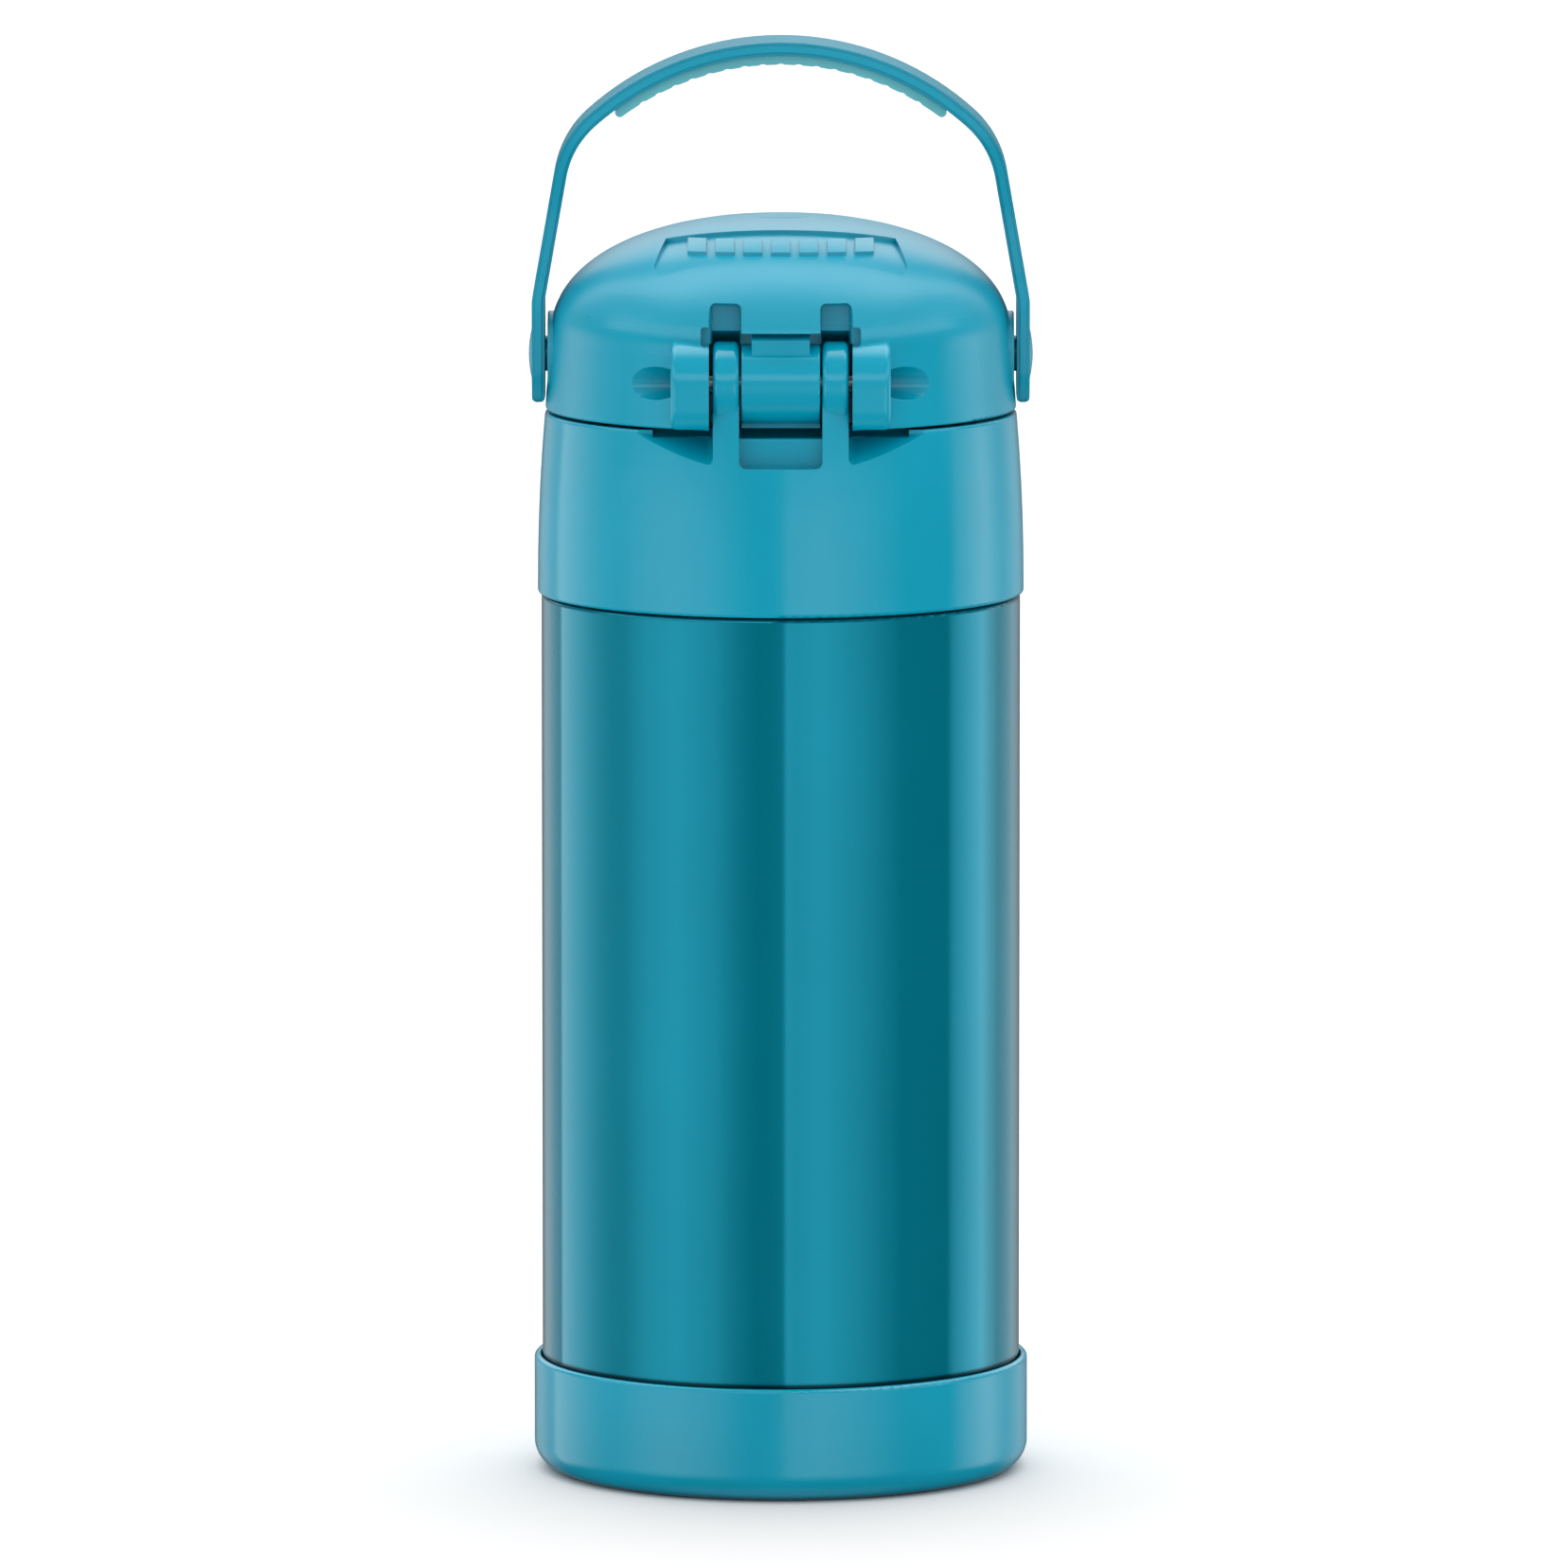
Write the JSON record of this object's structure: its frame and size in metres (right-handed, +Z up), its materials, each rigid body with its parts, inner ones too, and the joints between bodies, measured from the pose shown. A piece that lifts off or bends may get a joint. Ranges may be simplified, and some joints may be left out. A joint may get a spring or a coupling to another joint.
{
  "type": "insulated water bottle",
  "caption": "Slim vacuum-insulated drinking bottle: screw-on lid with rear-hinged domed cover, front push button, upright spout with straw, swinging carry handle and soft foot boot.",
  "frame": {"origin": "centre of the base, on the surface the bottle stands on", "axes": "+Z up along the bottle's axis; the cover's hinge is at -Y and the push button at +Y; the handle's pivots lie along X"},
  "size_m": [0.0736, 0.0724, 0.2102],
  "materials": {
    "moulded_teal": "satin moulded polypropylene",
    "teal_lacquer": "clear metallic teal lacquer over steel, glossy",
    "bare_steel": "brushed",
    "solder_plug": "dull cast",
    "getter": "sintered, matt",
    "foil": "bright rolled foil",
    "silicone": "matt translucent silicone",
    "inner_plastic": "satin white polypropylene",
    "gloss_teal": "semi-gloss moulded plastic",
    "straw_plastic": "clear tinted plastic",
    "pin_steel": "drawn wire",
    "grained_teal": "fine spark-eroded grain, satin",
    "handle_teal": "satin moulded plastic",
    "soft_grip": "soft translucent elastomer"
  },
  "bodies": {
    "vessel": {"foot_boot": "moulded_teal", "outer_shell": "teal_lacquer", "inner_liner": "bare_steel", "shell_base_disc": "bare_steel", "vacuum_seal": "solder_plug", "getter_pellet": "getter", "reflective_foil": "foil"},
    "lid_seal": {"lid_gasket": "silicone"},
    "lid_base": {"screw_sleeve": "inner_plastic", "collar": "gloss_teal", "mouthpiece": "silicone", "straw": "straw_plastic", "vent_valve": "silicone", "button_pin": "pin_steel", "button_spring": "pin_steel"},
    "cover": {"lid_cover": "grained_teal", "cover_liner": "inner_plastic", "spout_seal": "silicone", "hinge_pin": "pin_steel"},
    "button": {"latch_button": "gloss_teal"},
    "handle": {"carry_handle": "handle_teal", "handle_grip": "soft_grip"}
  },
  "joints": [
    {"name": "lid_rise", "type": "slide", "parent": "vessel", "child": "lid_seal", "axis": [0, 0, 1], "range_m": [0, 0.0061]},
    {"name": "lid_turn", "type": "hinge", "parent": "lid_seal", "child": "lid_base", "pos_m": [0, 0, 0.142], "axis": [0, 0, 1], "range_deg": [0, 540]},
    {"name": "cover_hinge", "type": "hinge", "parent": "lid_base", "child": "cover", "pos_m": [0, -0.0286, 0.1626], "axis": [1, 0, 0], "range_deg": [0, 120]},
    {"name": "button_press", "type": "hinge", "parent": "lid_base", "child": "button", "pos_m": [0, 0.0325, 0.1465], "axis": [-1, 0, 0], "range_deg": [0, 8], "stiffness_Nm_per_rad": 0.15, "springref_deg": -5.73, "deforming": ["button_spring"]},
    {"name": "handle_swing", "type": "hinge", "parent": "cover", "child": "handle", "pos_m": [0, 0, 0.16415], "axis": [1, 0, 0], "range_deg": [-110, 57]}
  ],
  "couplings": [
    {"joint": "lid_rise", "follows": "lid_turn", "m_per_rad": 0.00063662}
  ]
}
